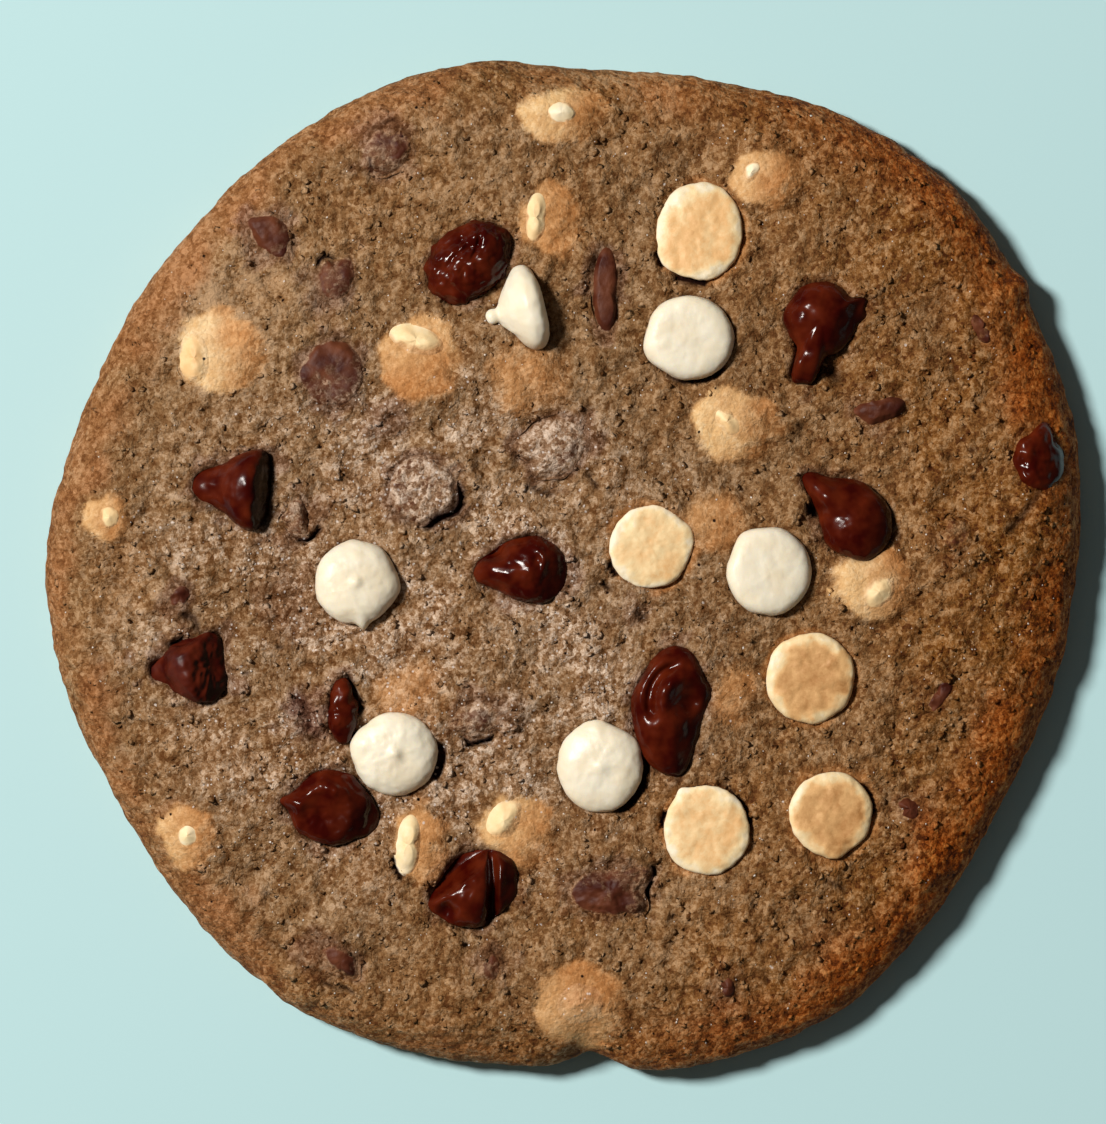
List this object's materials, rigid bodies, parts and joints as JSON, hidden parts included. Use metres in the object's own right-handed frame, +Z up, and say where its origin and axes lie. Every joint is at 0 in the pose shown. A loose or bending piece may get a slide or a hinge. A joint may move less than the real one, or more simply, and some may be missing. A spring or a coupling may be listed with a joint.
{
  "type": "chocolate chip cookie",
  "caption": "Large soft baked cookie, flat underneath and gently domed on top with an uneven rounded rim, and with white and dark chocolate chips set into its top.",
  "frame": {"origin": "On the flat underside, below the middle of the cookie's box.", "axes": "+Z is up out of the chip-covered top, +X is the cookie's right side and +Y its far side seen from above."},
  "size_m": [0.1202, 0.1172, 0.0139],
  "materials": {
    "baked_dough": "grainy baked cookie dough, grey-brown in the middle and golden brown at the rim",
    "white_chocolate": "smooth ivory white chocolate",
    "baked_white_chocolate": "white chocolate browned by baking",
    "glossy_dark_chocolate": "melted dark chocolate, glossy",
    "dull_dark_chocolate": "dark chocolate dulled by a film of dough and sugar"
  },
  "bodies": {
    "root": {"dough": "baked_dough", "white_chip_01": "white_chocolate", "white_chip_02": "white_chocolate", "white_chip_03": "white_chocolate", "white_chip_04": "white_chocolate", "white_chip_05": "white_chocolate", "white_chip_06": "white_chocolate", "baked_chip_01": "baked_white_chocolate", "baked_chip_02": "baked_white_chocolate", "baked_chip_03": "baked_white_chocolate", "baked_chip_04": "baked_white_chocolate", "baked_chip_05": "baked_white_chocolate", "baked_chip_06": "baked_white_chocolate", "baked_chip_07": "baked_white_chocolate", "baked_chip_08": "baked_white_chocolate", "baked_chip_09": "baked_white_chocolate", "baked_chip_10": "baked_white_chocolate", "baked_chip_11": "baked_white_chocolate", "baked_chip_12": "baked_white_chocolate", "baked_chip_13": "baked_white_chocolate", "baked_chip_14": "baked_white_chocolate", "baked_chip_15": "baked_white_chocolate", "baked_chip_16": "baked_white_chocolate", "baked_chip_17": "baked_white_chocolate", "dark_chip_01": "glossy_dark_chocolate", "dark_chip_02": "glossy_dark_chocolate", "dark_chip_03": "glossy_dark_chocolate", "dark_chip_04": "glossy_dark_chocolate", "dark_chip_05": "glossy_dark_chocolate", "dark_chip_06": "glossy_dark_chocolate", "dark_chip_07": "glossy_dark_chocolate", "dark_chip_08": "glossy_dark_chocolate", "dark_chip_09": "glossy_dark_chocolate", "dark_chip_10": "glossy_dark_chocolate", "dark_chip_11": "glossy_dark_chocolate", "sunken_chip_01": "dull_dark_chocolate", "sunken_chip_02": "dull_dark_chocolate", "sunken_chip_03": "dull_dark_chocolate", "sunken_chip_04": "dull_dark_chocolate", "sunken_chip_05": "dull_dark_chocolate", "sunken_chip_06": "dull_dark_chocolate", "sunken_chip_07": "dull_dark_chocolate", "sunken_chip_08": "dull_dark_chocolate", "sunken_chip_09": "dull_dark_chocolate", "sunken_chip_10": "dull_dark_chocolate", "sunken_chip_11": "dull_dark_chocolate", "sunken_chip_12": "dull_dark_chocolate", "sunken_chip_13": "dull_dark_chocolate", "sunken_chip_14": "dull_dark_chocolate", "sunken_chip_15": "dull_dark_chocolate", "sunken_chip_16": "dull_dark_chocolate", "sunken_chip_17": "dull_dark_chocolate", "sunken_chip_18": "dull_dark_chocolate", "sunken_chip_19": "dull_dark_chocolate"}
  },
  "joints": []
}
